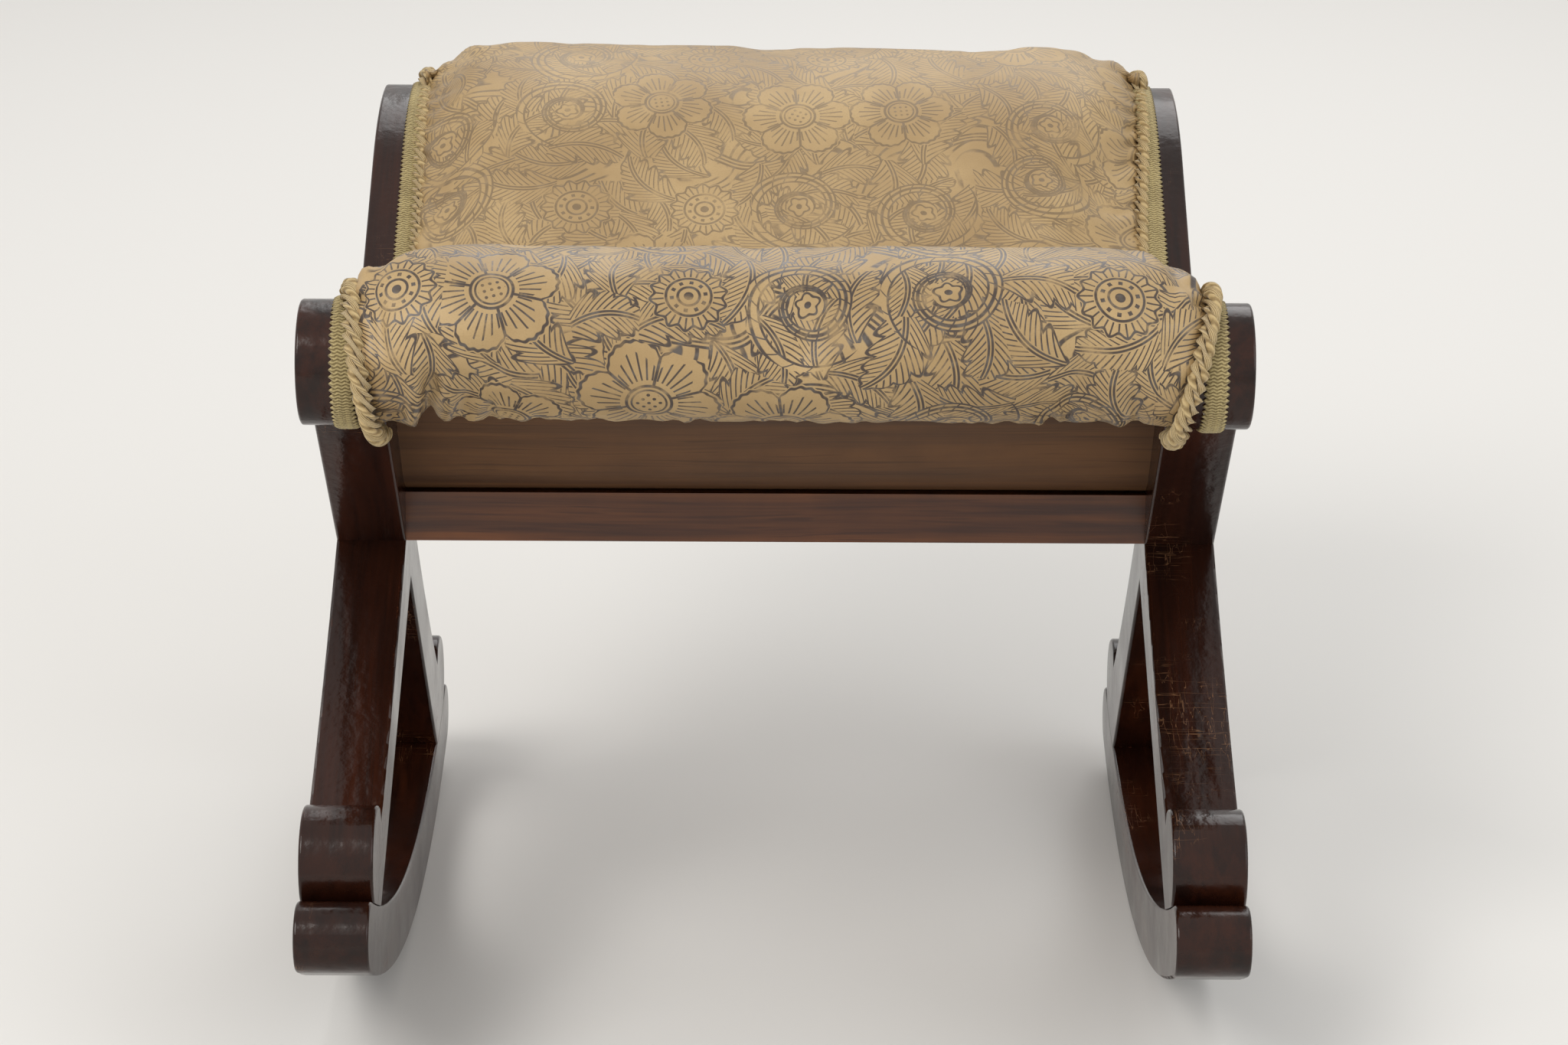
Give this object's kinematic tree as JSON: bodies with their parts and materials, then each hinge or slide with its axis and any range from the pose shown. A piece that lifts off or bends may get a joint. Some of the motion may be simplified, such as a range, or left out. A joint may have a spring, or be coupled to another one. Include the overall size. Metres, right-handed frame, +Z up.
{
  "type": "rocking footstool",
  "caption": "Upholstered footstool with a concave seat between a front and a rear roll, on crossed wooden side frames with curved runners.",
  "frame": {"origin": "on the floor, below the middle of the whole stool", "axes": "+X to the right as seen from the front, +Y to the back, where the taller roll is, +Z up"},
  "size_m": [0.48, 0.6292, 0.4255],
  "materials": {
    "frame_wood": "gloss",
    "rail_wood": "gloss",
    "deck_wood": "matte",
    "dowel_wood": "matte",
    "nail_steel": "satin",
    "stuffing": "matte",
    "cover_cloth": "matte",
    "braid_cloth": "matte",
    "cord_cloth": "satin"
  },
  "bodies": {
    "root": {"runner_left": "frame_wood", "front_leg_left": "frame_wood", "front_arm_left": "frame_wood", "rear_leg_left": "frame_wood", "rear_arm_left": "frame_wood", "foot_dowels_left": "dowel_wood", "neck_dowels_left": "dowel_wood", "arm_dowel_left": "dowel_wood", "braid_left": "braid_cloth", "braid_tacks_left": "nail_steel", "trim_cord_left": "cord_cloth", "runner_right": "frame_wood", "front_leg_right": "frame_wood", "front_arm_right": "frame_wood", "rear_leg_right": "frame_wood", "rear_arm_right": "frame_wood", "foot_dowels_right": "dowel_wood", "neck_dowels_right": "dowel_wood", "arm_dowel_right": "dowel_wood", "braid_right": "braid_cloth", "braid_tacks_right": "nail_steel", "trim_cord_right": "cord_cloth", "front_rail": "rail_wood", "rear_rail": "rail_wood", "front_roll_rail": "deck_wood", "rear_roll_rail": "deck_wood", "front_deck_board": "deck_wood", "rear_deck_board": "deck_wood", "deck_nails": "nail_steel", "front_roll_stuffing": "stuffing", "rear_roll_stuffing": "stuffing", "seat_stuffing": "stuffing", "seat_cover": "cover_cloth"}
  },
  "joints": []
}
